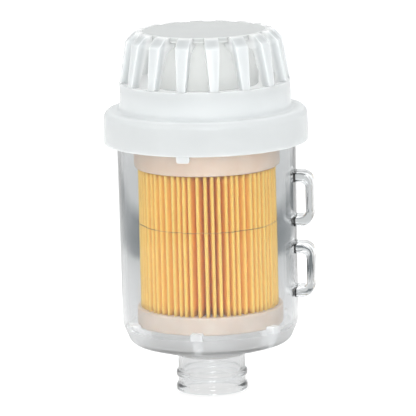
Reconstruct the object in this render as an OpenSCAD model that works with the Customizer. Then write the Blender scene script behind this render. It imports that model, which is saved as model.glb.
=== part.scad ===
// In-line intake filter: clear bowl with hose spigot, pleated element, vented screw cap.
// Millimetres. The origin is on the axis at the spigot's mouth, +Z runs up to the cap,
// and the strap loops point along +X.

/* [Bowl] */
// Outer radius of the bowl under the cap
bowl_r = 32.5; // [32:0.1:33]
// Outer radius of the bowl just above its chamfered lower edge
bowl_low_r = 32.05; // [31.8:0.05:32.3]
// Radius of the floor's edge
floor_r = 29.2; // [28.6:0.1:29.8]
// Wall thickness of the bowl
bowl_wall = 1.8; // [1.6:0.1:2]
// Height of the floor's edge
floor_z = 18.8; // [18:0.1:19.5]
// Height where the straight wall starts
chamfer_z = 25.5; // [24.5:0.1:26.5]
// Height of the bowl's rim
rim_z = 99.6; // [99.4:0.1:99.8]

/* [Spigot] */
// Outer radius of the spigot's neck
neck_r = 12.2; // [11.9:0.1:12.5]
// Outer radius of the end lip and of the middle bead
bead_r = 13; // [12.9:0.1:13.4]
// Radius of the spigot's bore
spigot_bore_r = 10.5; // [10:0.1:10.8]
// Height of the spigot under the floor
spigot_h = 13; // [12.5:0.1:13.5]

/* [Strap loops] */
// Height of the lower loop's centre
loop_low_z = 45; // [42:0.5:48]
// Distance between the two loops' centres
loop_pitch = 26; // [24:0.5:30]
// Overall height of one loop
loop_h = 19.6; // [18:0.2:22]
// Width of a loop along the bowl's surface
loop_w = 9; // [6:0.5:11]
// Thickness of a loop's bar
loop_t = 2.1; // [1.8:0.1:2.3]
// Clear gap between the bowl and a loop's bar
loop_gap = 4.25; // [4.2:0.05:4.6]

/* [Element] */
// Outer radius of the end caps
end_cap_r = 26.6; // [26:0.1:27]
// Underside of the bottom end cap
element_z = 25.1; // [25:0.1:25.4]
// Underside of the top end cap
pleat_top_z = 83; // [82.5:0.1:83.5]
// Thickness of the bottom end cap
bottom_cap_h = 6.8; // [6:0.1:7.5]
// Outer radius of the pleats
pleat_r = 25.35; // [25:0.05:25.5]
// Inner radius of the pleats
pleat_in_r = 16; // [15.8:0.1:17]
// Number of pleats
pleats = 63; // [48:1:72]
// Thickness of the filter paper
paper_t = 0.5; // [0.4:0.05:0.6]
// Height of the spacing thread
thread_z = 62.5; // [50:0.5:75]

/* [Cap] */
// Outer radius of the skirt
skirt_r = 37.1; // [36.8:0.1:37.4]
// Lower edge of the skirt
skirt_z = 92; // [91.8:0.1:92.4]
// Top of the skirt's step
step_z = 104; // [103.8:0.1:104.4]
// Outer radius of the ring above the step
ring_r = 30.9; // [30.6:0.1:31.2]
// Top of the ring, where the windows start
ring_z = 114; // [112:0.1:115]
// Top of the closed disc
top_z = 132.3; // [131:0.1:134]
// Radius of the closed disc
disc_r = 22.3; // [21.5:0.1:23]
// Outer radius of the baffle cup under the disc
cup_r = 19.4; // [18:0.1:20]
// Number of ribs in the crown
ribs = 16; // [12:1:18]
// Width of a rib at its lower end
rib_w = 2.8; // [2.6:0.1:4]
// Turn of the first rib from the strap loops
rib_phase = -6.4; // [-22.5:0.1:22.5]

/* [Screw thread] */
// Rise of the thread in one turn
thread_pitch = 3; // [3:0.1:3.2]
// Radius of the bowl thread's crest
thread_crest_r = 34.3; // [34:0.1:34.4]
// Radius of the cap thread's crest
cap_thread_crest_r = 33.1; // [33:0.1:33.3]

/* [Hidden] */

$fn = 96;
// Steps in one turn of a screw thread
thread_steps = 40;
// Depth by which a thread's root is buried in its wall
thread_root = 0.4;

// Bowl
bowl_in_r = bowl_r - bowl_wall;
bowl_low_in_r = bowl_low_r - bowl_wall;
dish_z = spigot_h + 0.6;
dish_in_z = dish_z + bowl_wall * 1.05;
floor_in_r = floor_r - bowl_wall * 0.72;

// Element
pleat_low_z = element_z + bottom_cap_h;
pleat_h = pleat_top_z - pleat_low_z;
top_cap_h = 9;
top_cap_z = pleat_top_z + top_cap_h;
seal_lip_h = 0.8;
core_r = 15.6;
core_in_r = 14.4;
seam_angle = 100;
seam_gap = 4;

// Inlet plate
collar_r = 13.9;
collar_in_r = 12.4;
collar_fit = 0.1;
collar_low_z = pleat_top_z + 1.6;
plate_t = 1.4;
plate_low_z = top_cap_z + seal_lip_h + 0.3;
pan_r = 28;
gasket_t = 1.2;
gasket_z = rim_z + 0.1;
flange_z = gasket_z + gasket_t;
flange_top_z = flange_z + plate_t;
flange_r = 33.4;

// Cap
skirt_in_r = 34.95;
ring_in_r = 28.9;
cup_wall = 1.5;
disc_t = 2;
cup_low_z = ring_z - 1.4;
shoulder_r = 28.2;
shoulder_z = top_z - 3.3;
rib_top_r = 24.6;
rib_head_w = 5.2;
rib_foot_in_r = ring_in_r - 1.6;
rib_head_in_r = 24;
tab_angle = -93.4;

// Helical threads: widths at root and crest, first and last turn angle
thread_root_w = 1.7;
thread_crest_w = 0.8;
bowl_thread_z = 93.6;
bowl_thread_end = 560;
cap_thread_start = 170;
cap_thread_end = 600;

// A vector of length one
function unit(v) = v / norm(v);

// Points of an arc that rounds corner b between a and c with radius r
function corner_arc(a, b, c, r, n = 6) =
  let (
    u = unit(a - b),
    v = unit(c - b),
    half = acos(max(-1, min(1, u * v))) / 2,
    centre = b + unit(u + v) * r / sin(half),
    start = b + u * r / tan(half) - centre,
    stop = b + v * r / tan(half) - centre,
    from = atan2(start[1], start[0]),
    turn = atan2(stop[1], stop[0]) - from,
    sweep = turn > 180 ? turn - 360 : (turn < -180 ? turn + 360 : turn)
  )
  [for (i = [0:n]) centre + r * [cos(from + sweep * i / n), sin(from + sweep * i / n)]];

// A point at radius r and angle a
function at_angle(r, a) = r * [cos(a), sin(a)];

// A closed outline from corners [x, y, radius]
function rounded(corners, n = 6) =
  let (count = len(corners))
  [for (i = [0:count - 1])
    let (
      a = corners[(i + count - 1) % count],
      b = corners[i],
      c = corners[(i + 1) % count]
    )
    each (b[2] > 0
      ? corner_arc([a[0], a[1]], [b[0], b[1]], [c[0], c[1]], b[2], n)
      : [[b[0], b[1]]])
  ];

// One section of a helical thread: root below the wall's face, crest outwards
function thread_section(root_r, crest_r, a, z, scale) = [
  [root_r * cos(a), root_r * sin(a), z - thread_root_w / 2],
  [(root_r + (crest_r - root_r) * scale) * cos(a),
   (root_r + (crest_r - root_r) * scale) * sin(a), z - thread_crest_w / 2],
  [(root_r + (crest_r - root_r) * scale) * cos(a),
   (root_r + (crest_r - root_r) * scale) * sin(a), z + thread_crest_w / 2],
  [root_r * cos(a), root_r * sin(a), z + thread_root_w / 2]
];

// A helical thread as one closed solid, run out to nothing over its first and last steps
module helix(root_r, crest_r, z0, from, to, flip) {
  steps = ceil((to - from) / 360 * thread_steps);
  points = [
    for (i = [0:steps])
      let (
        a = from + (to - from) * i / steps,
        fade = max(0.3, min(1, min(i, steps - i) / 4 + 0.3))
      )
      each thread_section(root_r, crest_r, a, z0 + thread_pitch * a / 360, fade)
  ];
  sides = [
    for (i = [0:steps - 1])
      for (k = [0:3])
        let (a = 4 * i + k, b = 4 * i + (k + 1) % 4)
        each (flip ? [[a, b, b + 4], [a, b + 4, a + 4]] : [[b, a, a + 4], [b, a + 4, b + 4]])
  ];
  last = 4 * steps;
  ends = flip
    ? [[0, 2, 1], [0, 3, 2], [last, last + 1, last + 2], [last, last + 2, last + 3]]
    : [[0, 1, 2], [0, 2, 3], [last, last + 2, last + 1], [last, last + 3, last + 2]];
  polyhedron(points = points, faces = concat(sides, ends), convexity = 10);
}

// Solid of everything inside the bowl's inner surface
module bowl_cavity() {
  rotate_extrude()
    polygon(rounded([
      [0, dish_in_z - 3, 0],
      [spigot_bore_r, dish_in_z - 3, 0],
      [spigot_bore_r, dish_in_z, 0.5],
      [floor_in_r, floor_z + bowl_wall * 0.8, 1],
      [bowl_low_in_r, chamfer_z + 0.5, 1.5],
      [bowl_in_r, rim_z + 1, 0],
      [0, rim_z + 1, 0]
    ]));
}

// Solid inside the bowl's outer surface
module bowl_outside() {
  rotate_extrude()
    polygon(rounded([
      [0, spigot_h, 0],
      [neck_r, spigot_h, 0],
      [neck_r, dish_z, 0.4],
      [floor_r, floor_z, 1.6],
      [bowl_low_r, chamfer_z, 2],
      [bowl_r, rim_z, 0.3],
      [0, rim_z, 0]
    ]));
}

// Clear moulded bowl with a single-start right-hand thread under its rim
module bowl_shell() {
  color("lightblue", 0.35)
    difference() {
      union() {
        bowl_outside();
        helix(bowl_r - thread_root, thread_crest_r, bowl_thread_z, 0, bowl_thread_end, true);
      }
      bowl_cavity();
      translate([0, 0, spigot_h - 1])
        cylinder(r = spigot_bore_r, h = 6);
    }
}

// Hose spigot: end lip and middle bead have short straight lands at the same radius
module outlet_spigot() {
  color("lightblue", 0.35)
    rotate_extrude()
      polygon(rounded([
        [spigot_bore_r, 0, 0.3],
        [bead_r, 0, 0.5],
        [bead_r, 2.2, 0.4],
        [neck_r, 2.9, 0.2],
        [neck_r, 4.6, 0.2],
        [bead_r, 5.3, 0.4],
        [bead_r, 7.1, 0.4],
        [neck_r, 7.8, 0.2],
        [neck_r, spigot_h, 0],
        [spigot_bore_r, spigot_h, 0]
      ]));
}

// D-shaped loop on the bowl's side, open along the bowl's surface
module strap_loop(z) {
  outer_x = bowl_r + loop_gap + loop_t;
  foot_t = 3.5;
  color("lightblue", 0.35)
    difference() {
      translate([0, loop_w / 2, z])
        rotate([90, 0, 0])
          linear_extrude(height = loop_w)
            polygon(rounded([
              [bowl_low_r - 1, -loop_h / 2, 0],
              [outer_x, -loop_h / 2, 4],
              [outer_x, loop_h / 2, 4],
              [bowl_low_r - 1, loop_h / 2, 0]
            ]));
      translate([0, loop_w, z])
        rotate([90, 0, 0])
          linear_extrude(height = loop_w * 2)
            polygon(rounded([
              [bowl_low_r - 2, foot_t - loop_h / 2, 0],
              [outer_x - loop_t, foot_t - loop_h / 2, 1.8],
              [outer_x - loop_t, loop_h / 2 - foot_t, 1.8],
              [bowl_low_r - 2, loop_h / 2 - foot_t, 0]
            ]));
      bowl_outside();
    }
}

// Six brackets in the bowl: a stem under the element's edge and a pad that centres it
module rest_posts() {
  stem_w = 2.9;
  pad_w = 4.4;
  stem_in_r = 23.6;
  color("lightblue", 0.35)
    for (k = [0:5])
      rotate([0, 0, 30 + 60 * k])
        intersection() {
          union() {
            translate([stem_in_r, -stem_w / 2, floor_z - 3])
              cube([10, stem_w, element_z - 0.1 - floor_z + 3]);
            translate([end_cap_r + 0.4, -pad_w / 2, element_z - 0.8])
              cube([6, pad_w, 2.5]);
          }
          bowl_cavity();
        }
}

// Closed end cap, cast onto the lower ends of the pleats
module element_bottom_cap() {
  color("bisque")
    rotate_extrude()
      polygon(rounded([
        [0, element_z, 0],
        [end_cap_r, element_z, 1],
        [end_cap_r, pleat_low_z, 0.6],
        [0, pleat_low_z, 0]
      ]));
}

// Lattice tube that keeps the pleats open
module core_tube() {
  columns = 10;
  rows = 6;
  window_w = 6;
  bar = 2.4;
  window_h = (pleat_h - bar) / rows - bar;
  color("dimgray")
    difference() {
      translate([0, 0, pleat_low_z])
        cylinder(r = core_r, h = pleat_h);
      translate([0, 0, pleat_low_z - 1])
        cylinder(r = core_in_r, h = pleat_h + 2);
      for (j = [0:rows - 1])
        for (k = [0:columns / 2 - 1])
          translate([0, 0, pleat_low_z + bar + (window_h + bar) * j])
            rotate([0, 0, 360 / columns * k])
              translate([-core_r - 1, -window_w / 2, 0])
                cube([2 * core_r + 2, window_w, window_h]);
    }
}

// Folded paper: a zigzag band from one side of the seam round to the other
module pleated_media() {
  degree = 180 / PI;
  half_gap = seam_gap / 2 / pleat_r * degree;
  first = seam_angle + half_gap;
  step = (360 - 2 * half_gap) / pleats;
  tip_turn = paper_t / pleat_r * degree;
  valley_turn = paper_t / pleat_in_r * degree;
  notch = 2 * paper_t;
  outer_side = [
    for (i = [0:pleats])
      let (a = first + step * i, tip = a + step / 2)
      each concat(
        [at_angle(pleat_in_r + notch, a)],
        i < pleats ? [at_angle(pleat_r, tip - tip_turn), at_angle(pleat_r, tip + tip_turn)] : []
      )
  ];
  inner_side = [
    for (i = [pleats:-1:0])
      let (a = first + step * i, tip = a - step / 2)
      each concat(
        [at_angle(pleat_in_r, a + valley_turn), at_angle(pleat_in_r, a - valley_turn)],
        i > 0 ? [at_angle(pleat_r - notch, tip)] : []
      )
  ];
  color("orange")
    translate([0, 0, pleat_low_z])
      linear_extrude(height = pleat_h)
        polygon(concat(outer_side, inner_side));
}

// Folded strip over the two free ends of the paper
module seam_clip() {
  clip_w = 1.6;
  color("silver")
    rotate([0, 0, seam_angle])
      translate([pleat_in_r + 0.4, -clip_w / 2, pleat_low_z])
        cube([pleat_r - pleat_in_r - 0.8, clip_w, pleat_h]);
}

// Thread that keeps the pleats at their spacing
module pleat_thread() {
  thread_r = 0.28;
  color("sienna")
    translate([0, 0, thread_z])
      rotate_extrude()
        translate([pleat_r + thread_r + 0.03, 0])
          circle(r = thread_r, $fn = 16);
}

// Open end cap with a raised lip round its bore
module element_top_cap() {
  bore = collar_r + collar_fit;
  color("bisque")
    rotate_extrude()
      polygon(rounded([
        [bore, pleat_top_z, 0],
        [end_cap_r, pleat_top_z, 0.6],
        [end_cap_r, top_cap_z, 1],
        [bore + 4, top_cap_z, 0.3],
        [bore + 3.4, top_cap_z + seal_lip_h, 0.3],
        [bore, top_cap_z + seal_lip_h, 0.3]
      ]));
}

// Dished plate: flange on the gasket, pan wall, floor and a collar into the element
module inlet_plate() {
  color("whitesmoke")
    rotate_extrude()
      polygon(rounded([
        [collar_in_r, collar_low_z, 0.4],
        [collar_r, collar_low_z, 0.5],
        [collar_r, plate_low_z, 0],
        [pan_r, plate_low_z, 1.5],
        [pan_r, flange_z, 0.3],
        [flange_r, flange_z, 0.2],
        [flange_r, flange_top_z, 0.2],
        [ring_in_r - 0.1, flange_top_z, 0],
        [ring_in_r - 0.1, flange_top_z + 2, 0.4],
        [pan_r - plate_t, flange_top_z + 2, 0.4],
        [pan_r - plate_t, plate_low_z + plate_t, 0.8],
        [collar_in_r, plate_low_z + plate_t, 1]
      ]));
}

// Flat rubber ring between the bowl's rim and the inlet plate
module cap_gasket() {
  color("dimgray")
    translate([0, 0, gasket_z])
      difference() {
        cylinder(r = flange_r, h = gasket_t);
        translate([0, 0, -1])
          cylinder(r = bowl_in_r - 0.6, h = gasket_t + 2);
      }
}

// Threaded skirt, step and ring of the cap, with a small tab under the skirt
module screw_cap() {
  tab_w = 4.7;
  tab_h = 2.2;
  color("ghostwhite")
    union() {
      rotate_extrude()
        polygon(rounded([
          [skirt_in_r + 0.3, skirt_z, 0.2],
          [skirt_r, skirt_z, 0.5],
          [skirt_r - 0.3, step_z, 2.5],
          [ring_r + 0.1, step_z, 1],
          [ring_r, ring_z, 0.3],
          [ring_in_r, ring_z, 0.3],
          [ring_in_r, flange_top_z, 0],
          [skirt_in_r, flange_top_z, 0.4]
        ]));
      helix(skirt_in_r + thread_root, cap_thread_crest_r, bowl_thread_z - thread_pitch / 2,
        cap_thread_start, cap_thread_end, false);
      rotate([0, 0, tab_angle])
        translate([skirt_in_r + 0.4, -tab_w / 2, skirt_z - tab_h])
          cube([skirt_r - skirt_in_r - 0.6, tab_w, tab_h + 1]);
    }
}

// One rib along +X: its side outline, narrowed towards the ring
module rib() {
  intersection() {
    rotate([90, 0, 0])
      translate([0, 0, -rib_head_w / 2])
        linear_extrude(height = rib_head_w)
          polygon(rounded([
            [ring_r - 0.2, ring_z, 0],
            [shoulder_r, shoulder_z, 0.4],
            [rib_top_r, top_z, 0.5],
            [cup_r - 1, top_z, 0],
            [cup_r - 1, top_z - disc_t - 1.2, 0],
            [rib_head_in_r, shoulder_z - 2.5, 1],
            [rib_foot_in_r, ring_z, 0]
          ]));
    rotate([90, 0, 90])
      linear_extrude(height = ring_r + 1)
        polygon([
          [-rib_w / 2, ring_z],
          [rib_w / 2, ring_z],
          [rib_head_w / 2, shoulder_z],
          [rib_head_w / 2, top_z],
          [-rib_head_w / 2, top_z],
          [-rib_head_w / 2, shoulder_z]
        ]);
  }
}

// Crown of free ribs, each standing on the ring and reaching the closed disc
module vent_ribs() {
  color("white")
    for (k = [0:ribs - 1])
      rotate([0, 0, rib_phase + 360 / ribs * k])
        difference() {
          rib();
          cylinder(r = cup_r, h = top_z);
          translate([0, 0, top_z - disc_t])
            cylinder(r = disc_r, h = disc_t + 1);
        }
}

// Closed disc with the cup wall that turns the air down and keeps rain out
module baffle_cup() {
  color("gainsboro")
    rotate_extrude()
      polygon(rounded([
        [0, top_z, 0],
        [disc_r, top_z, 0.4],
        [disc_r, top_z - disc_t, 0],
        [cup_r, top_z - disc_t, 0],
        [cup_r, cup_low_z, 0.4],
        [cup_r - cup_wall, cup_low_z, 0.4],
        [cup_r - cup_wall, top_z - disc_t, 0.6],
        [0, top_z - disc_t, 0]
      ]));
}

bowl_shell();
outlet_spigot();
strap_loop(loop_low_z);  // strap_loop_lower
strap_loop(loop_low_z + loop_pitch);  // strap_loop_upper
rest_posts();
element_bottom_cap();
core_tube();
pleated_media();
seam_clip();
pleat_thread();
element_top_cap();
inlet_plate();
cap_gasket();
screw_cap();
vent_ribs();
baffle_cup();
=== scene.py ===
import math
import random
import bmesh
import bpy
from mathutils import Matrix, Vector


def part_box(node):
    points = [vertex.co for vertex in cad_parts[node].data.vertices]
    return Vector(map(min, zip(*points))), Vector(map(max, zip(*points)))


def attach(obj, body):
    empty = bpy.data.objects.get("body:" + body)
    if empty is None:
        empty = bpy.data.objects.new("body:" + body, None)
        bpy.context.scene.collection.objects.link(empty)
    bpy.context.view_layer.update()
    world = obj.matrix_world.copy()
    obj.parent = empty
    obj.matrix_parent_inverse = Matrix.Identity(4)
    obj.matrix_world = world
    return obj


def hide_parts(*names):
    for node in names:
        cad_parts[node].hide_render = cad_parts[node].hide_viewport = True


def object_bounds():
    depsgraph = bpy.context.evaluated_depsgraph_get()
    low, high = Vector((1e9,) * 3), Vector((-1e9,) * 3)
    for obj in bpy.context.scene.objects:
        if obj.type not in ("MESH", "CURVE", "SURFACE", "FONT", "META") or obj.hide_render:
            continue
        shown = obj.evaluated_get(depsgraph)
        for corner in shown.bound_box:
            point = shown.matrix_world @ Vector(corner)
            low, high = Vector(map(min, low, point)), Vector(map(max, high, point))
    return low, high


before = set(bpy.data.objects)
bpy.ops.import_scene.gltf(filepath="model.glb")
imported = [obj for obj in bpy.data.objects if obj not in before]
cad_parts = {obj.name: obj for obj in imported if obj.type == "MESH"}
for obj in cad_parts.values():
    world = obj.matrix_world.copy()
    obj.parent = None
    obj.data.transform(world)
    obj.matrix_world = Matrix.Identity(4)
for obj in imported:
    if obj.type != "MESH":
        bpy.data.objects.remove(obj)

# ---------------------------------------------------------------- studio
# A small product shot: the filter stands on its spigot on a white sweep in a white room. A soft
# light stands in front, a weak one behind and a narrow strip on each side. A long lens looks from
# ten degrees round towards the strap loops.
mm = 0.001
cad_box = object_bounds()
low, high = cad_box
aim = Vector((0.0, 0.0, (low.z + high.z) / 2 + 0.75 * mm))
camera_turn = math.radians(10.0)
camera_rise = math.radians(10.78)
camera_roll = math.radians(-1.41)
camera_away = 1.315
camera_back = Vector((
    math.sin(camera_turn) * math.cos(camera_rise),
    -math.cos(camera_turn) * math.cos(camera_rise),
    math.sin(camera_rise),
))
camera_data = bpy.data.cameras.new("camera")
camera_data.lens = 313.7
camera_data.sensor_width = 36.0
camera_data.clip_end = 20.0
camera = bpy.data.objects.new("camera", camera_data)
camera.location = aim + camera_back * camera_away
look = (-camera_back).to_track_quat("-Z", "Y")
camera.rotation_euler = (look.to_matrix() @ Matrix.Rotation(camera_roll, 3, "Z")).to_euler()
bpy.context.scene.collection.objects.link(camera)
bpy.context.scene.camera = camera
bpy.context.scene.view_settings.view_transform = "Standard"


def soft_light(name, place, size, watts, tint=(1.0, 1.0, 1.0)):
    """A rectangular area light, (width, height), that faces the middle of the filter."""
    data = bpy.data.lights.new(name, "AREA")
    data.shape = "RECTANGLE"
    data.size, data.size_y = size
    data.energy = watts
    data.color = tint
    lamp = bpy.data.objects.new(name, data)
    lamp.location = place
    lamp.rotation_euler = (Vector(place) - aim).to_track_quat("Z", "Y").to_euler()
    bpy.context.scene.collection.objects.link(lamp)


soft_light("left_strip", (-0.62, -0.62, 0.55), (0.10, 0.55), 1.1, (1.0, 0.99, 0.97))
soft_light("right_strip", (0.75, -0.25, 0.40), (0.08, 0.45), 0.5, (0.96, 0.98, 1.0))
soft_light("back_light", (-0.1, 1.0, 1.0), (0.8, 0.8), 2.0)
soft_light("front_light", (0.24, -1.23, 0.55), (0.5, 0.5), 7.0)

room = bpy.data.worlds.new("white_room")
room.use_nodes = True
room_nodes = room.node_tree.nodes
room_links = room.node_tree.links
direction = room_nodes.new("ShaderNodeTexCoord")
split = room_nodes.new("ShaderNodeSeparateXYZ")
fade = room_nodes.new("ShaderNodeValToRGB")
fade.color_ramp.elements[0].position = 0.0
fade.color_ramp.elements[0].color = (0.87, 0.885, 0.89, 1.0)
fade.color_ramp.elements[1].position = 1.0
fade.color_ramp.elements[1].color = (1.0, 1.0, 1.0, 1.0)
room_links.new(direction.outputs["Generated"], split.inputs["Vector"])
room_links.new(split.outputs["Z"], fade.inputs["Fac"])
room_links.new(fade.outputs["Color"], room_nodes["Background"].inputs["Color"])
room_nodes["Background"].inputs["Strength"].default_value = 1.02
bpy.context.scene.world = room


def material(name, color, roughness, **sockets):
    """A Principled material; sockets are named as on the shader, with _ for a space."""
    made = bpy.data.materials.new(name)
    made.use_nodes = True
    shader = made.node_tree.nodes["Principled BSDF"]
    shader.inputs["Base Color"].default_value = (*color, 1.0)
    shader.inputs["Roughness"].default_value = roughness
    for socket, value in sockets.items():
        shader.inputs[socket.replace("_", " ")].default_value = value
    return made


def add_node(made, kind, **settings):
    """A new node of a material; settings are its properties, or inputs where it has no such property."""
    node = made.node_tree.nodes.new(kind)
    for key, value in settings.items():
        if hasattr(node, key):
            setattr(node, key, value)
        else:
            node.inputs[key.replace("_", " ")].default_value = value
    return node


def join(made, source, target):
    """Links one socket to another."""
    made.node_tree.links.new(source, target)


def noise(made, scale, detail=3.0, roughness=0.5, stretch=(1.0, 1.0, 1.0)):
    """Noise on Object coordinates in metres; scale counts features in a metre."""
    place = add_node(made, "ShaderNodeTexCoord")
    mapping = add_node(made, "ShaderNodeMapping")
    mapping.inputs["Scale"].default_value = stretch
    texture = add_node(made, "ShaderNodeTexNoise", Scale=scale, Detail=detail, Roughness=roughness)
    join(made, place.outputs["Object"], mapping.inputs["Vector"])
    join(made, mapping.outputs["Vector"], texture.inputs["Vector"])
    return texture.outputs["Fac"]


def ramp(made, factor, *stops):
    """A colour ramp; each stop is (position, colour)."""
    node = add_node(made, "ShaderNodeValToRGB")
    elements = node.color_ramp.elements
    while len(elements) < len(stops):
        elements.new(0.5)
    for element, (position, color) in zip(elements, stops):
        element.position = position
        element.color = (*color, 1.0)
    join(made, factor, node.inputs["Fac"])
    return node.outputs["Color"]


def shader_of(made):
    """The material's Principled shader."""
    return made.node_tree.nodes["Principled BSDF"]


floor_size = 6.0
floor_gap = 0.2 * mm
bm = bmesh.new()
bmesh.ops.create_grid(bm, x_segments=1, y_segments=1, size=floor_size,
                      matrix=Matrix.Translation((0, 0, low.z - floor_gap)))
floor_mesh = bpy.data.meshes.new("floor")
bm.to_mesh(floor_mesh)
bm.free()
floor = bpy.data.objects.new("floor", floor_mesh)
bpy.context.scene.collection.objects.link(floor)
paper_sweep = material("white_sweep", (0.93, 0.93, 0.93), 0.8, Emission_Color=(1.0, 1.0, 1.0, 1.0),
                       Emission_Strength=0.2)
join(paper_sweep, ramp(paper_sweep, noise(paper_sweep, 6.0),
                       (0.3, (0.96, 0.96, 0.96)), (0.7, (0.985, 0.985, 0.985))),
     shader_of(paper_sweep).inputs["Base Color"])

# For rays that come through clear plastic the sweep glows in these tones, by distance from the filter
# in metres: a painted refraction of a grey room with one dark band behind the filter.
painted_refraction = add_node(paper_sweep, "ShaderNodeEmission")
away = add_node(paper_sweep, "ShaderNodeTexCoord")
distance = add_node(paper_sweep, "ShaderNodeVectorMath", operation="LENGTH")
join(paper_sweep, away.outputs["Object"], distance.inputs[0])
join(paper_sweep, ramp(paper_sweep, distance.outputs["Value"],
                       (0.05, (0.80, 0.80, 0.795)),
                       (0.08, (1.0, 1.0, 0.99)),
                       (0.11, (0.97, 0.97, 0.97)),
                       (0.14, (0.73, 0.735, 0.74)),
                       (0.207, (0.58, 0.59, 0.59)),
                       (0.217, (0.15, 0.17, 0.18)),
                       (0.262, (0.14, 0.16, 0.17)),
                       (0.285, (0.62, 0.63, 0.63)),
                       (0.8, (0.62, 0.635, 0.64))),
     painted_refraction.inputs["Color"])
through_plastic = add_node(paper_sweep, "ShaderNodeLightPath")
sweep_mix = add_node(paper_sweep, "ShaderNodeMixShader")
join(paper_sweep, through_plastic.outputs["Is Transmission Ray"], sweep_mix.inputs[0])
join(paper_sweep, shader_of(paper_sweep).outputs["BSDF"], sweep_mix.inputs[1])
join(paper_sweep, painted_refraction.outputs["Emission"], sweep_mix.inputs[2])
join(paper_sweep, sweep_mix.outputs["Shader"],
     paper_sweep.node_tree.nodes["Material Output"].inputs["Surface"])
floor_mesh.materials.append(paper_sweep)

# ---------------------------------------------------------------- clear bowl
# One injection moulding of clear styrene plastic: a thin drafted wall, a chamfered lower edge, a
# dished floor that runs into the hose spigot with its two beads, and two strap loops on the side.
bowl_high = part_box("bowl_shell")[1]
spigot_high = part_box("outlet_spigot")[1]
bowl_wall = 1.8 * mm
bowl_r = 32.5 * mm
bowl_low_r = 32.05 * mm
floor_r = 29.2 * mm
neck_r = 12.2 * mm
bead_r = spigot_high.x
bore_r = 10.5 * mm
dish_z = spigot_high.z + 0.6 * mm
floor_z = spigot_high.z + 5.8 * mm
chamfer_z = spigot_high.z + 12.5 * mm
rim_z = bowl_high.z
turn_steps = 240


def piece(name, bm, made, smooth=40.0):
    """Turns a bmesh into an object with its material; edges sharper than smooth stay sharp."""
    mesh = bpy.data.meshes.new(name)
    bm.to_mesh(mesh)
    bm.free()
    mesh.shade_smooth()
    mesh.set_sharp_from_angle(angle=math.radians(smooth))
    if made is not None:
        mesh.materials.append(made)
    item = bpy.data.objects.new(name, mesh)
    bpy.context.scene.collection.objects.link(item)
    return item


def outline(bm, corners, segments=6, place=lambda u, v: (u, 0.0, v)):
    """A flat face from (u, v, rounding) corners; the rounding is a length along each edge."""
    verts = [bm.verts.new(place(u, v)) for u, v, _ in corners]
    bm.faces.new(verts)
    for vert, corner in zip(verts, corners):
        if corner[2] > 0:
            bmesh.ops.bevel(bm, geom=[vert], offset=corner[2], affect="VERTICES",
                            segments=segments, profile=0.5, material=-1)
    return bm.faces[:]


def turned(bm, corners, segments=6, steps=turn_steps):
    """Spins a closed outline round the axis into a closed solid."""
    face = outline(bm, corners, segments)
    edges = bm.edges[:]
    bmesh.ops.delete(bm, geom=face, context="FACES_ONLY")
    bmesh.ops.spin(bm, geom=bm.verts[:] + edges, cent=(0, 0, 0), axis=(0, 0, 1),
                   dvec=(0, 0, 0), angle=2 * math.pi, steps=steps, use_merge=True)
    bmesh.ops.remove_doubles(bm, verts=bm.verts[:], dist=1e-7)
    bmesh.ops.recalc_face_normals(bm, faces=bm.faces[:])


def fused(base, tools):
    """Joins closed tool solids to a base solid, as one moulding, and removes the tools."""
    for tool in tools:
        step = base.modifiers.new(tool.name, "BOOLEAN")
        step.operation = "UNION"
        step.solver = "EXACT"
        step.object = tool
    mesh = bpy.data.meshes.new_from_object(base.evaluated_get(bpy.context.evaluated_depsgraph_get()))
    base.modifiers.clear()
    base.data = mesh
    mesh.shade_smooth()
    mesh.set_sharp_from_angle(angle=math.radians(40))
    for tool in tools:
        bpy.data.objects.remove(tool)


def level(made, factor, from_low, from_high, to_low, to_high):
    """Maps a value from one range to another."""
    node = add_node(made, "ShaderNodeMapRange")
    for key, value in zip(("From Min", "From Max", "To Min", "To Max"),
                          (from_low, from_high, to_low, to_high)):
        node.inputs[key].default_value = value
    join(made, factor, node.inputs["Value"])
    return node.outputs["Result"]


def bump(made, height, distance, strength=1.0):
    """Bump into the shader's normal; distance is the depth in metres."""
    node = add_node(made, "ShaderNodeBump", Strength=strength, Distance=distance)
    join(made, height, node.inputs["Height"])
    join(made, node.outputs["Normal"], shader_of(made).inputs["Normal"])


def passes_light(made, share):
    """Lets a share of the light through the wall, so that what lies behind is not in full shadow."""
    path = add_node(made, "ShaderNodeLightPath")
    through = add_node(made, "ShaderNodeBsdfTransparent", Color=(*share, 1.0))
    mix = add_node(made, "ShaderNodeMixShader")
    join(made, path.outputs["Is Shadow Ray"], mix.inputs[0])
    join(made, shader_of(made).outputs["BSDF"], mix.inputs[1])
    join(made, through.outputs["BSDF"], mix.inputs[2])
    join(made, mix.outputs["Shader"], made.node_tree.nodes["Material Output"].inputs["Surface"])


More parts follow.
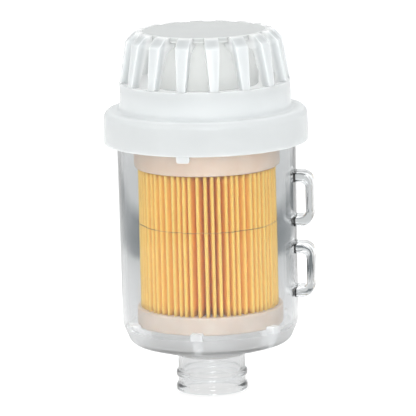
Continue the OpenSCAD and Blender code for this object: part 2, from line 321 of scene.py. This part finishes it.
def clear_styrene(name, roughness):
    """Water-clear plastic; its faint grey tint deepens with the length of plastic looked through. The
    floor and chamfer come from a rougher part of the mould and are hazy, the spigot a little so."""
    made = material(name, (0.96, 0.965, 0.97), roughness, IOR=1.5, Transmission_Weight=1.0)
    flow = noise(made, 90.0, 2.0, 0.5, (1.0, 1.0, 0.35))
    bump(made, flow, 0.12 * mm, 0.35)
    place = add_node(made, "ShaderNodeTexCoord")
    split = add_node(made, "ShaderNodeSeparateXYZ")
    join(made, place.outputs["Object"], split.inputs["Vector"])
    haze = ramp(made, level(made, split.outputs["Z"], 0.0, 40.0 * mm, 0.0, 1.0),
                (0.0, (0.10, 0.10, 0.10)), (0.32, (0.12, 0.12, 0.12)), (0.36, (0.34, 0.34, 0.34)),
                (0.60, (0.30, 0.30, 0.30)), (0.70, (0.0, 0.0, 0.0)))
    grain = add_node(made, "ShaderNodeMath", operation="MULTIPLY_ADD")
    join(made, noise(made, 700.0), grain.inputs[0])
    grain.inputs[1].default_value = 0.05
    join(made, haze, grain.inputs[2])
    both = add_node(made, "ShaderNodeMath", operation="ADD", use_clamp=True)
    join(made, grain.outputs["Value"], both.inputs[0])
    both.inputs[1].default_value = roughness - 0.02
    join(made, both.outputs["Value"], shader_of(made).inputs["Roughness"])
    passes_light(made, (0.95, 0.955, 0.96))
    tint = add_node(made, "ShaderNodeVolumeAbsorption", Color=(0.62, 0.66, 0.67, 1.0), Density=28.0)
    join(made, tint.outputs["Volume"], made.node_tree.nodes["Material Output"].inputs["Volume"])
    return made


styrene = clear_styrene("clear_styrene", 0.01)
bm = bmesh.new()
turned(bm, [
    # end lip of the spigot
    (bore_r, 0.0, 0.3 * mm),
    (bead_r, 0.0, 0.6 * mm),
    (bead_r, 2.1 * mm, 0.7 * mm),
    (neck_r, 2.8 * mm, 0.3 * mm),
    # middle bead
    (neck_r, 4.8 * mm, 0.3 * mm),
    (bead_r, 5.3 * mm, 0.6 * mm),
    (bead_r, 7.1 * mm, 0.6 * mm),
    (neck_r, 7.7 * mm, 0.3 * mm),
    # dished floor, chamfer and wall, outside
    (neck_r, dish_z, 0.6 * mm),
    (floor_r, floor_z, 1.3 * mm),
    (bowl_low_r, chamfer_z, 1.0 * mm),
    (bowl_r, rim_z, 0.4 * mm),
    # the same, inside
    (bowl_r - bowl_wall, rim_z, 0.4 * mm),
    (bowl_low_r - bowl_wall, chamfer_z + 0.5 * mm, 0.8 * mm),
    (floor_r - 1.3 * mm, floor_z + 1.44 * mm, 1.0 * mm),
    (bore_r, dish_z + 1.89 * mm, 0.6 * mm),
])
bowl = piece("clear_bowl", bm, styrene)

# The thread for the cap stands out of the wall just under the rim.
thread_pitch = 3.0 * mm
thread_turn = math.radians(560.0)
thread_steps = 120
thread_z = 93.6 * mm
bm = bmesh.new()
section = outline(bm, [
    (bowl_r - 0.4 * mm, thread_z - 0.85 * mm, 0.0),
    (bowl_r + 1.75 * mm, thread_z - 0.4 * mm, 0.25 * mm),
    (bowl_r + 1.75 * mm, thread_z + 0.4 * mm, 0.25 * mm),
    (bowl_r - 0.4 * mm, thread_z + 0.85 * mm, 0.0),
], 2)
bmesh.ops.spin(bm, geom=section, cent=(0, 0, 0), axis=(0, 0, 1), angle=thread_turn, steps=thread_steps,
               dvec=(0, 0, thread_pitch * thread_turn / (2 * math.pi) / thread_steps))
bmesh.ops.recalc_face_normals(bm, faces=bm.faces[:])
bowl_thread = piece("bowl_thread_tool", bm, None)

# Each strap loop is a D-shaped bar with round corners; its two feet run into the wall.
loop_bar = 2.5 * mm
loop_foot = 3.5 * mm
loop_corner = 4.2 * mm
slot_corner = 2.0 * mm
root_x = bowl_low_r - 0.6 * mm
mouldings = [bowl_thread]
for node in ("strap_loop_lower", "strap_loop_upper"):
    loop_low, loop_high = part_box(node)
    bm = bmesh.new()
    face = outline(bm, [
        (root_x, loop_low.z, 0.0),
        (loop_high.x, loop_low.z, loop_corner),
        (loop_high.x, loop_high.z, loop_corner),
        (root_x, loop_high.z, 0.0),
        (root_x, loop_high.z - loop_foot, 0.0),
        (loop_high.x - loop_bar, loop_high.z - loop_foot, slot_corner),
        (loop_high.x - loop_bar, loop_low.z + loop_foot, slot_corner),
        (root_x, loop_low.z + loop_foot, 0.0),
    ], 8, lambda u, v: (u, loop_low.y, v))
    grown = bmesh.ops.extrude_face_region(bm, geom=face)["geom"]
    bmesh.ops.translate(bm, vec=(0, loop_high.y - loop_low.y, 0),
                        verts=[g for g in grown if isinstance(g, bmesh.types.BMVert)])
    bmesh.ops.recalc_face_normals(bm, faces=bm.faces[:])
    rims = [e for e in bm.edges if abs(e.verts[0].co.y - e.verts[1].co.y) < 1e-6]
    bmesh.ops.bevel(bm, geom=rims, offset=0.55 * mm, affect="EDGES", segments=4, profile=0.5,
                    material=-1, clamp_overlap=True)
    mouldings.append(piece(node + "_tool", bm, None))
fused(bowl, mouldings)
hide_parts("bowl_shell", "outlet_spigot", "strap_loop_lower", "strap_loop_upper")
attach(bowl, "housing")

# ---------------------------------------------------------------- rest posts
# Six brackets moulded inside the bowl, a little frosty from the ejector pins: each has a stem that
# stands under the element's edge and a wider head that centres it.
post_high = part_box("rest_posts")[1]
frosty = clear_styrene("frosty_styrene", 0.32)
frosty_shader = shader_of(frosty)
frosty_shader.inputs["Transmission Weight"].default_value = 0.45
rest_z = 25.0 * mm
post_count = 6
post_phase = math.radians(30.0)


def upright(bm, corners, width, rounding, segments=3):
    """A slab from an outline of radius and height, centred on the +X plane, its long edges rounded."""
    face = outline(bm, corners, 4, lambda u, v: (u, -width / 2, v))
    grown = bmesh.ops.extrude_face_region(bm, geom=face)["geom"]
    fresh = [g for g in grown if isinstance(g, bmesh.types.BMVert)]
    bmesh.ops.translate(bm, vec=(0, width, 0), verts=fresh)
    bmesh.ops.recalc_face_normals(bm, faces=bm.faces[:])
    rims = [e for e in bm.edges if abs(e.verts[0].co.y - e.verts[1].co.y) < 1e-7]
    if rounding > 0:
        bmesh.ops.bevel(bm, geom=rims, offset=rounding, affect="EDGES", segments=segments,
                        profile=0.5, material=-1, clamp_overlap=True)


def ring_of(bm, count, phase=0.0):
    """Repeats everything in the mesh round the axis, count times in all."""
    bmesh.ops.rotate(bm, cent=(0, 0, 0), matrix=Matrix.Rotation(phase, 3, "Z"), verts=bm.verts[:])
    bmesh.ops.spin(bm, geom=bm.verts[:] + bm.edges[:] + bm.faces[:], cent=(0, 0, 0), axis=(0, 0, 1),
                   angle=2 * math.pi * (count - 1) / count, steps=count - 1, use_duplicate=True)


bm = bmesh.new()
upright(bm, [
    (27.05 * mm, rest_z - 0.7 * mm, 0.4 * mm),
    (30.05 * mm, rest_z - 0.7 * mm, 0.0),
    (30.45 * mm, post_high.z, 0.0),
    (27.05 * mm, post_high.z, 0.6 * mm),
], 4.4 * mm, 0.45 * mm)
ring_of(bm, post_count, post_phase)
heads = piece("rest_heads_tool", bm, None)
bm = bmesh.new()
upright(bm, [
    (23.6 * mm, 18.95 * mm, 0.0),
    (27.85 * mm, 20.05 * mm, 0.5 * mm),
    (30.35 * mm, 26.0 * mm, 0.0),
    (29.0 * mm, rest_z + 0.3 * mm, 0.0),
    (27.2 * mm, rest_z, 0.0),
    (23.6 * mm, rest_z, 0.5 * mm),
], 2.9 * mm, 0.4 * mm)
ring_of(bm, post_count, post_phase)
posts = piece("rest_brackets", bm, frosty)
fused(posts, [heads])
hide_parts("rest_posts")
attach(posts, "housing")

# ---------------------------------------------------------------- pleated paper
# The heart of the element is dyed filter paper, dry and a little fibrous. It is folded into pleats
# of not quite even spacing, bent into a ring and cast into an end cap at each end.
media_low, media_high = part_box("pleated_media")
pleat_r = media_high.x
pleat_in_r = 19.0 * mm
pleat_count = 62
pleat_levels = 18
ridge_r = 0.62 * mm
ridge_steps = 6
paper_t = 0.4 * mm
seam_turn = math.radians(100.0)
draw = random.Random(7)


def filter_paper():
    """Orange paper, its colour painted by depth: paler on the ridges as a painted highlight, deeper and
    redder towards the pleats' inner edge as painted shade where little light gets in between them.
    """
    made = material("orange_filter_paper", (0.93, 0.62, 0.22), 0.85, Specular_IOR_Level=0.25)
    place = add_node(made, "ShaderNodeTexCoord")
    flat = add_node(made, "ShaderNodeVectorMath", operation="MULTIPLY")
    flat.inputs[1].default_value = (1.0, 1.0, 0.0)
    length = add_node(made, "ShaderNodeVectorMath", operation="LENGTH")
    join(made, place.outputs["Object"], flat.inputs[0])
    join(made, flat.outputs["Vector"], length.inputs[0])
    depth = level(made, length.outputs["Value"], pleat_r - 5.0 * mm, pleat_r, 0.0, 1.0)
    color = ramp(made, depth, (0.0, (1.0, 0.42, 0.05)), (0.55, (1.0, 0.52, 0.09)),
                 (0.9, (0.94, 0.60, 0.14)), (1.0, (0.84, 0.63, 0.18)))
    fibre = ramp(made, noise(made, 1400.0, 6.0, 0.65, (1.0, 1.0, 0.6)),
                 (0.3, (0.90, 0.88, 0.84)), (0.7, (1.0, 1.0, 1.0)))
    mix = add_node(made, "ShaderNodeMix", data_type="RGBA", blend_type="MULTIPLY")
    mix.inputs["Factor"].default_value = 1.0
    join(made, color, mix.inputs["A"])
    join(made, fibre, mix.inputs["B"])
    join(made, mix.outputs["Result"], shader_of(made).inputs["Base Color"])
    bump(made, noise(made, 2500.0, 4.0), 0.05 * mm, 0.6)
    passes_light(made, (0.40, 0.20, 0.06))
    return made


bm = bmesh.new()
gap_turn = 2.0 * mm / pleat_r
pitch_turn = (2 * math.pi - 2 * gap_turn) / pleat_count
row = []
ridges = []
drift = 0.0
for k in range(pleat_count):
    drift = 0.6 * drift + draw.uniform(-0.19, 0.19) * pitch_turn
    turn = seam_turn + gap_turn + pitch_turn * (k + 0.5) + drift
    reach = pleat_r - draw.uniform(0.0, 0.35) * mm
    ridges.append((turn, reach))
    valley = turn - pitch_turn / 2
    row.append(bm.verts.new((pleat_in_r * math.cos(valley), pleat_in_r * math.sin(valley), media_low.z)))
    for step in range(ridge_steps + 1):
        swing = math.pi * (step / ridge_steps - 0.5)
        r = reach - ridge_r * (1.0 - math.cos(swing))
        side = turn + math.sin(swing) * ridge_r / pleat_r
        row.append(bm.verts.new((r * math.cos(side), r * math.sin(side), media_low.z)))
last = seam_turn - gap_turn
row.append(bm.verts.new((pleat_in_r * math.cos(last), pleat_in_r * math.sin(last), media_low.z)))
edges = [bm.edges.new((a, b)) for a, b in zip(row, row[1:])]
for rise in range(pleat_levels):
    grown = bmesh.ops.extrude_edge_only(bm, edges=edges)["geom"]
    edges = [g for g in grown if isinstance(g, bmesh.types.BMEdge)]
    bmesh.ops.translate(bm, vec=(0, 0, (media_high.z - media_low.z) / pleat_levels),
                        verts=[g for g in grown if isinstance(g, bmesh.types.BMVert)])
bmesh.ops.recalc_face_normals(bm, faces=bm.faces[:])
media = piece("pleated_paper", bm, filter_paper(), 60.0)
paper_wall = media.modifiers.new("paper_thickness", "SOLIDIFY")
paper_wall.thickness = paper_t
paper_wall.offset = -1.0
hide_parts("pleated_media")
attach(media, "element")

# ---------------------------------------------------------------- seam strip
# The two free ends of the paper are held together by a folded strip of tinned steel, crimped over
# them for the full height of the pleats. It sits at the back of the element.
def tinned_steel():
    """Dull tin coat with fine lines along the strip."""
    made = material("tinned_steel", (0.62, 0.62, 0.60), 0.35, Metallic=1.0)
    lines = noise(made, 900.0, 4.0, 0.6, (1.0, 1.0, 0.04))
    join(made, ramp(made, lines, (0.3, (0.52, 0.52, 0.50)), (0.7, (0.70, 0.70, 0.68))),
         shader_of(made).inputs["Base Color"])
    join(made, level(made, lines, 0.3, 0.7, 0.28, 0.48), shader_of(made).inputs["Roughness"])
    return made


clip_low, clip_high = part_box("seam_clip")
strip_t = 0.35 * mm
strip_half = 0.8 * mm
strip_r = pleat_r - 0.45 * mm
strip_in_r = pleat_in_r + 0.5 * mm
bm = bmesh.new()
face = outline(bm, [
    (strip_r, -strip_half, 0.45 * mm),
    (strip_r, strip_half, 0.45 * mm),
    (strip_in_r, strip_half, 0.0),
    (strip_in_r, strip_half - strip_t, 0.0),
    (strip_r - strip_t, strip_half - strip_t, 0.2 * mm),
    (strip_r - strip_t, strip_t - strip_half, 0.2 * mm),
    (strip_in_r, strip_t - strip_half, 0.0),
    (strip_in_r, -strip_half, 0.0),
], 4, lambda u, v: (u, v, clip_low.z))
grown = bmesh.ops.extrude_face_region(bm, geom=face)["geom"]
bmesh.ops.translate(bm, vec=(0, 0, clip_high.z - clip_low.z),
                    verts=[g for g in grown if isinstance(g, bmesh.types.BMVert)])
bmesh.ops.rotate(bm, cent=(0, 0, 0), matrix=Matrix.Rotation(seam_turn, 3, "Z"), verts=bm.verts[:])
bmesh.ops.recalc_face_normals(bm, faces=bm.faces[:])
clip = piece("seam_strip", bm, tinned_steel())
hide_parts("seam_clip")
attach(clip, "element")

# ---------------------------------------------------------------- spacing thread
# A fine waxed thread is wound once round the pleats and glued to each ridge, so that they keep
# their spacing. It dips between the ridges, and glue covers it in places.
def waxed_thread():
    """Dark brown thread with a dull wax coat, pale where the glue covers it."""
    made = material("waxed_thread", (0.10, 0.045, 0.02), 0.6)
    join(made, ramp(made, noise(made, 110.0, 3.0), (0.44, (0.06, 0.03, 0.015)), (0.58, (0.55, 0.33, 0.11))),
         shader_of(made).inputs["Base Color"])
    return made


thread_low, thread_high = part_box("pleat_thread")
thread_mid = (thread_low.z + thread_high.z) / 2
between = pleat_r - 0.5 * mm
sag = 0.05 * mm
route = bpy.data.curves.new("spacing_thread", "CURVE")
route.dimensions = "3D"
route.bevel_depth = 0.10 * mm
route.bevel_resolution = 1
route.resolution_u = 2
wound = route.splines.new("POLY")
wound.points.add(2 * len(ridges) - 1)
for k, (turn, reach) in enumerate(ridges):
    beyond = ridges[(k + 1) % len(ridges)][0] + (2 * math.pi if k + 1 == len(ridges) else 0.0)
    middle = (turn + beyond) / 2
    sway = draw.uniform(-0.12, 0.12) * mm
    on_ridge = reach + 0.14 * mm
    wound.points[2 * k].co = (on_ridge * math.cos(turn), on_ridge * math.sin(turn), thread_mid + sway, 1.0)
    wound.points[2 * k + 1].co = (between * math.cos(middle), between * math.sin(middle),
                                  thread_mid + sway - sag, 1.0)
wound.use_cyclic_u = True
route.materials.append(waxed_thread())
spacing = bpy.data.objects.new("spacing_thread", route)
bpy.context.scene.collection.objects.link(spacing)
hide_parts("pleat_thread")
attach(spacing, "element")

# ---------------------------------------------------------------- end caps
# The ends of the pleats stand in caps of soft polyurethane, poured into a mould. The bottom cap is
# closed. The top cap has a bore for the inlet plate's collar, with a raised lip round it.
def cast_polyurethane(name, dark, pale):
    """Soft cast resin, pinkish beige, a little see-through and cloudy from the pouring."""
    made = material(name, dark, 0.45, Subsurface_Weight=0.35, Subsurface_Scale=0.004)
    shader_of(made).inputs["Subsurface Radius"].default_value = (1.0, 0.6, 0.4)
    cloud = ramp(made, noise(made, 160.0, 4.0, 0.6), (0.3, dark), (0.7, pale))
    join(made, cloud, shader_of(made).inputs["Base Color"])
    bump(made, noise(made, 900.0), 0.05 * mm, 0.3)
    return made


bottom_low, bottom_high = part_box("element_bottom_cap")
bm = bmesh.new()
turned(bm, [
    (0.0, bottom_low.z, 0.0),
    (bottom_high.x, bottom_low.z, 1.0 * mm),
    (bottom_high.x, bottom_high.z, 0.7 * mm),
    (0.0, bottom_high.z, 0.0),
])
# The bottom cap is cast in the same resin as the top cap; its tones are painted darker, as painted shade.
bottom_resin = cast_polyurethane("bottom_end_cap_resin", (0.59, 0.49, 0.41), (0.65, 0.57, 0.50))
bottom_cap = piece("bottom_end_cap", bm, bottom_resin)
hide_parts("element_bottom_cap")
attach(bottom_cap, "element")

top_low, top_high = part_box("element_top_cap")
top_bore_r = 14.0 * mm
lip = 0.8 * mm
bm = bmesh.new()
turned(bm, [
    (top_bore_r, top_low.z, 0.0),
    (top_high.x, top_low.z, 0.7 * mm),
    (top_high.x, top_high.z - lip, 1.0 * mm),
    (top_bore_r + 4.0 * mm, top_high.z - lip, 0.3 * mm),
    (top_bore_r + 3.4 * mm, top_high.z, 0.3 * mm),
    (top_bore_r, top_high.z, 0.3 * mm),
])
top_resin = cast_polyurethane("top_end_cap_resin", (0.73, 0.565, 0.445), (0.77, 0.63, 0.525))
top_cap = piece("top_end_cap", bm, top_resin)
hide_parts("element_top_cap")
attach(top_cap, "element")

# ---------------------------------------------------------------- core tube
# The lattice tube inside the pleats is moulded in plain polypropylene; it keeps the paper from
# folding in when air is drawn through it. The end caps are cast round its ends.
def lattice_plastic():
    """Matt natural polypropylene with faint flow marks."""
    made = material("lattice_plastic", (0.72, 0.71, 0.68), 0.55)
    join(made, ramp(made, noise(made, 120.0, 4.0), (0.3, (0.66, 0.65, 0.62)), (0.7, (0.76, 0.75, 0.72))),
         shader_of(made).inputs["Base Color"])
    bump(made, noise(made, 1800.0), 0.03 * mm, 0.4)
    return made


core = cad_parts["core_tube"]
core.data.materials.clear()
core.data.materials.append(lattice_plastic())

# ---------------------------------------------------------------- inlet plate
# A dished plate under the cap, moulded in natural polypropylene: its flange is trapped between cap
# and gasket, and the collar in its middle runs down into the element's top end cap.
def milky_polypropylene(name, tone, depth, painted_light_tone=None, lean=0.0, inner=0.0, outer=1.0):
    """Satin milky plastic with very fine mould texture; depth is how far light spreads in it. Nearer
    the axis than inner it is painted paler, in the inner tone: painted light where shade falls inside
    the moulding; lean moves that limit inwards with height."""
    made = material(name, tone, 0.27, Subsurface_Weight=1.0, Subsurface_Scale=depth,
                    Specular_IOR_Level=0.3)
    shader_of(made).inputs["Subsurface Radius"].default_value = (1.0, 1.0, 1.0)
    cloud = ramp(made, noise(made, 60.0, 3.0), (0.3, (0.97, 0.97, 0.97)), (0.7, (1.0, 1.0, 1.0)))
    place = add_node(made, "ShaderNodeTexCoord")
    flat = add_node(made, "ShaderNodeVectorMath", operation="MULTIPLY")
    flat.inputs[1].default_value = (1.0, 1.0, 0.0)
    length = add_node(made, "ShaderNodeVectorMath", operation="LENGTH")
    height = add_node(made, "ShaderNodeSeparateXYZ")
    reach = add_node(made, "ShaderNodeMath", operation="MULTIPLY_ADD")
    join(made, place.outputs["Object"], flat.inputs[0])
    join(made, flat.outputs["Vector"], length.inputs[0])
    join(made, place.outputs["Object"], height.inputs["Vector"])
    join(made, height.outputs["Z"], reach.inputs[0])
    reach.inputs[1].default_value = lean
    join(made, length.outputs["Value"], reach.inputs[2])
    color = ramp(made, level(made, reach.outputs["Value"], inner, outer, 0.0, 1.0),
                 (0.0, painted_light_tone or tone), (1.0, tone))
    mix = add_node(made, "ShaderNodeMix", data_type="RGBA", blend_type="MULTIPLY")
    mix.inputs["Factor"].default_value = 1.0
    join(made, color, mix.inputs["A"])
    join(made, cloud, mix.inputs["B"])
    join(made, mix.outputs["Result"], shader_of(made).inputs["Base Color"])
    bump(made, noise(made, 2200.0, 3.0), 0.02 * mm, 0.35)
    passes_light(made, (0.88, 0.89, 0.89))
    return made


plate_low, plate_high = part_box("inlet_plate")
collar_r = 13.9 * mm
collar_in_r = 12.4 * mm
pan_r = 28.0 * mm
pan_z = 93.1 * mm
flange_z = 100.9 * mm
sheet = 1.4 * mm
bm = bmesh.new()
turned(bm, [
    (collar_in_r, plate_low.z, 0.4 * mm),
    (collar_r, plate_low.z, 0.5 * mm),
    (collar_r, pan_z, 0.3 * mm),
    (pan_r, pan_z, 1.5 * mm),
    (pan_r, flange_z, 0.3 * mm),
    (plate_high.x, flange_z, 0.25 * mm),
    (plate_high.x, flange_z + sheet, 0.25 * mm),
    (pan_r + 0.8 * mm, flange_z + sheet, 0.0),
    (pan_r + 0.8 * mm, plate_high.z, 0.4 * mm),
    (pan_r - sheet, plate_high.z, 0.4 * mm),
    (pan_r - sheet, pan_z + sheet, 0.8 * mm),
    (collar_in_r, pan_z + sheet, 1.0 * mm),
], 4, 160)
# The plate's tone is painted as pale as the cap's inner faces, paler than the cap's outside: painted light
# in the shade under the cap.
plate = piece("inlet_pan", bm, milky_polypropylene("natural_polypropylene", (0.98, 0.98, 0.98), 0.003))
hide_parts("inlet_plate")
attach(plate, "cap")

# ---------------------------------------------------------------- gasket
# A flat ring punched from black nitrile sheet and dusted with talc. It lies on the bowl's rim under
# the plate's flange, and the cap presses the two together.
def nitrile_rubber():
    """Black sheet rubber, matt, with a trace of talc."""
    made = material("nitrile_rubber", (0.02, 0.02, 0.02), 0.7)
    talc = noise(made, 500.0, 5.0, 0.7)
    join(made, ramp(made, talc, (0.45, (0.015, 0.015, 0.016)), (0.8, (0.07, 0.07, 0.07))),
         shader_of(made).inputs["Base Color"])
    bump(made, noise(made, 1500.0), 0.05 * mm, 0.5)
    return made


gasket_low, gasket_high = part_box("cap_gasket")
gasket_in_r = 30.1 * mm
bm = bmesh.new()
turned(bm, [
    (gasket_in_r, gasket_low.z, 0.2 * mm),
    (gasket_high.x, gasket_low.z, 0.2 * mm),
    (gasket_high.x, gasket_high.z, 0.2 * mm),
    (gasket_in_r, gasket_high.z, 0.2 * mm),
], 3, 160)
gasket = piece("rim_gasket", bm, nitrile_rubber())
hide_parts("cap_gasket")
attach(gasket, "cap")

# ---------------------------------------------------------------- screw cap
# The cap is moulded in milky polypropylene: a threaded skirt, a step and the ring that carries
# the ribs. The plastic lets light in, so its edges look soft. A small tab hangs under the skirt.
def painted_light_by_height(made, from_z, to_z, *stops):
    """Multiplies the base colour by a ramp over height: painted light and shade in bands of height."""
    place = add_node(made, "ShaderNodeTexCoord")
    height = add_node(made, "ShaderNodeSeparateXYZ")
    shade = add_node(made, "ShaderNodeMix", data_type="RGBA", blend_type="MULTIPLY")
    shade.inputs["Factor"].default_value = 1.0
    base = shader_of(made).inputs["Base Color"]
    join(made, place.outputs["Object"], height.inputs["Vector"])
    join(made, base.links[0].from_socket, shade.inputs["A"])
    join(made, ramp(made, level(made, height.outputs["Z"], from_z, to_z, 0.0, 1.0), *stops),
         shade.inputs["B"])
    join(made, shade.outputs["Result"], base)


cap_low, cap_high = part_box("screw_cap")
inside_r = 29.1 * mm
outside_r = 30.4 * mm
skirt_r = 37.07 * mm
skirt_z = cap_low.z + 2.2 * mm
step_z = skirt_z + 12.0 * mm
ring_z = cap_high.z
ring_r = 30.9 * mm
ring_in_r = 28.9 * mm
skirt_in_r = 34.95 * mm
step_under_z = skirt_z + 10.3 * mm
bm = bmesh.new()
turned(bm, [
    (skirt_in_r + 0.3 * mm, skirt_z, 0.2 * mm),
    (skirt_r, skirt_z, 0.5 * mm),
    (skirt_r - 0.3 * mm, step_z, 2.6 * mm),
    (ring_r + 0.1 * mm, step_z, 1.5 * mm),
    (ring_r, ring_z, 0.3 * mm),
    (ring_in_r, ring_z, 0.3 * mm),
    (ring_in_r, step_under_z, 0.0),
    (skirt_in_r, step_under_z, 0.4 * mm),
])
# Painted light: the ring's inner face, nearer the axis than inside_r, is painted paler than the outside,
# and round the step the cap is painted paler still, where a crease of shade would fall.
cap_plastic = milky_polypropylene("milky_cap_plastic", (0.64, 0.66, 0.665), 0.004, (0.98, 0.98, 0.98),
                                  0.0, inside_r, outside_r)
painted_light_by_height(cap_plastic, step_z - 2.0 * mm, step_z + 8.0 * mm,
                (0.0, (0.80, 0.80, 0.80)), (0.12, (0.84, 0.84, 0.84)), (0.22, (0.98, 0.98, 0.98)),
                (0.40, (0.94, 0.94, 0.94)), (1.0, (0.80, 0.80, 0.80)))
skirt = piece("cap_skirt", bm, cap_plastic)

tab_turn = math.radians(-93.4)
tab_w = 4.7 * mm
tab_corner = 0.9 * mm
tab_root_z = skirt_z + 0.8 * mm
tab_in_r = skirt_in_r + 0.45 * mm
tab_t = skirt_r - skirt_in_r - 0.7 * mm
bm = bmesh.new()
face = outline(bm, [
    (-tab_w / 2, cap_low.z, tab_corner),
    (tab_w / 2, cap_low.z, tab_corner),
    (tab_w / 2, tab_root_z, 0.0),
    (-tab_w / 2, tab_root_z, 0.0),
], 5, lambda u, v: (tab_in_r, u, v))
grown = bmesh.ops.extrude_face_region(bm, geom=face)["geom"]
bmesh.ops.translate(bm, vec=(tab_t, 0, 0),
                    verts=[g for g in grown if isinstance(g, bmesh.types.BMVert)])
bmesh.ops.rotate(bm, cent=(0, 0, 0), matrix=Matrix.Rotation(tab_turn, 3, "Z"), verts=bm.verts[:])
bmesh.ops.recalc_face_normals(bm, faces=bm.faces[:])
tab = piece("cap_tab_tool", bm, None)

# The cap's thread runs half a pitch away from the bowl's, so the two mesh.
crest_r = 33.1 * mm
cap_thread_start = math.radians(170.0)
cap_thread_z = thread_z - thread_pitch / 2 + thread_pitch * cap_thread_start / (2 * math.pi)
cap_thread_turn = math.radians(430.0)
cap_thread_steps = 92
bm = bmesh.new()
section = outline(bm, [
    (skirt_in_r + 0.4 * mm, cap_thread_z - 0.85 * mm, 0.0),
    (crest_r, cap_thread_z - 0.4 * mm, 0.25 * mm),
    (crest_r, cap_thread_z + 0.4 * mm, 0.25 * mm),
    (skirt_in_r + 0.4 * mm, cap_thread_z + 0.85 * mm, 0.0),
], 2)
bmesh.ops.rotate(bm, cent=(0, 0, 0), matrix=Matrix.Rotation(cap_thread_start, 3, "Z"),
                 verts=bm.verts[:])
bmesh.ops.spin(bm, geom=section, cent=(0, 0, 0), axis=(0, 0, 1), angle=cap_thread_turn,
               steps=cap_thread_steps,
               dvec=(0, 0, thread_pitch * cap_thread_turn / (2 * math.pi) / cap_thread_steps))
bmesh.ops.recalc_face_normals(bm, faces=bm.faces[:])
fused(skirt, [tab, piece("cap_thread_tool", bm, None)])
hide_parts("screw_cap")
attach(skirt, "cap")

# ---------------------------------------------------------------- crown ribs
# Sixteen ribs stand on the ring, lean in over a chamfered shoulder and carry the closed top disc.
# They are moulded with the cap, in the same milky plastic, and grow wider towards the shoulder.
rib_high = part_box("vent_ribs")[1]
rib_count = 16
rib_phase = math.radians(-6.4)
rib_w = 3.0 * mm
rib_head_w = 4.9 * mm
shoulder_r = 28.2 * mm
shoulder_z = rib_high.z - 3.3 * mm
cup_r = 19.4 * mm
rib_lean = 0.18
rib_foot_reach = rib_lean * 114.0 * mm
# Painted light: the ribs' inner faces are painted paler than their sides, and above the shoulder the
# chamfer and top are painted darker, painted shade that tones down the light falling on them.
rib_plastic = milky_polypropylene("milky_rib_plastic", (0.56, 0.58, 0.585), 0.004, (0.72, 0.73, 0.73),
                                  rib_lean, rib_foot_reach + 27.5 * mm, rib_foot_reach + 28.7 * mm)
painted_light_by_height(rib_plastic, shoulder_z + 0.1 * mm, shoulder_z + 1.2 * mm,
                (0.0, (1.0, 1.0, 1.0)), (1.0, (0.87, 0.87, 0.87)))
disc_r = 22.3 * mm
disc_t = 2.0 * mm
bm = bmesh.new()
upright(bm, [
    (ring_r - 0.15 * mm, ring_z - 0.15 * mm, 0.0),
    (shoulder_r, shoulder_z, 0.5 * mm),
    (24.6 * mm, rib_high.z, 0.6 * mm),
    (disc_r - 0.25 * mm, rib_high.z, 0.0),
    (disc_r - 0.25 * mm, rib_high.z - disc_t, 0.0),
    (cup_r - 0.3 * mm, rib_high.z - disc_t, 0.0),
    (cup_r - 0.3 * mm, rib_high.z - disc_t - 1.2 * mm, 0.0),
    (24.0 * mm, shoulder_z - 2.5 * mm, 1.2 * mm),
    (ring_in_r - 1.55 * mm, ring_z + 0.35 * mm, 0.3 * mm),
    (ring_in_r - 1.55 * mm, ring_z - 0.15 * mm, 0.0),
], rib_w, 0.0)
for vert in bm.verts:
    share = min(1.0, max(0.0, (vert.co.z - ring_z) / (shoulder_z - ring_z)))
    vert.co.y *= 1.0 + share * (rib_head_w / rib_w - 1.0)
sides = [e for e in bm.edges if e.verts[0].co.y * e.verts[1].co.y > 0
         and min(e.verts[0].co.x, e.verts[1].co.x) > disc_r]
bmesh.ops.bevel(bm, geom=sides, offset=0.22 * mm, affect="EDGES", segments=2, profile=0.5,
                material=-1, clamp_overlap=True)
ring_of(bm, rib_count, rib_phase)
bmesh.ops.recalc_face_normals(bm, faces=bm.faces[:])
ribs = piece("crown_ribs", bm, rib_plastic, 30.0)
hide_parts("vent_ribs")
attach(ribs, "cap")

# ---------------------------------------------------------------- rain cup
# The closed disc and the cup wall under it keep rain out: air has to turn under the cup's edge.
# Both are moulded with the cap. The lean is so large that the tone changes with height: the disc
# is grey on top, and its underside and the cup wall are painted pale: painted light in the shade
# under the disc.
disc_lean = 100.0
disc_plastic = milky_polypropylene("milky_disc_plastic", (0.475, 0.49, 0.485), 0.003, (0.70, 0.71, 0.70),
                                   disc_lean, disc_lean * 130.35 * mm, disc_lean * 131.5 * mm)
cup_low, cup_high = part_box("baffle_cup")
cup_wall = 1.5 * mm
bm = bmesh.new()
turned(bm, [
    (0.0, cup_high.z - 0.15 * mm, 0.0),
    (disc_r - 1.0 * mm, cup_high.z - 0.05 * mm, 0.3 * mm),
    (disc_r, cup_high.z, 0.35 * mm),
    (disc_r, cup_high.z - disc_t, 0.3 * mm),
    (cup_r, cup_high.z - disc_t, 0.5 * mm),
    (cup_r, cup_low.z, 0.5 * mm),
    (cup_r - cup_wall, cup_low.z, 0.5 * mm),
    (cup_r - cup_wall, cup_high.z - disc_t, 0.8 * mm),
    (0.0, cup_high.z - disc_t, 0.0),
], 4, 160)
cup = piece("rain_cup", bm, disc_plastic)
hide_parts("baffle_cup")
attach(cup, "cap")
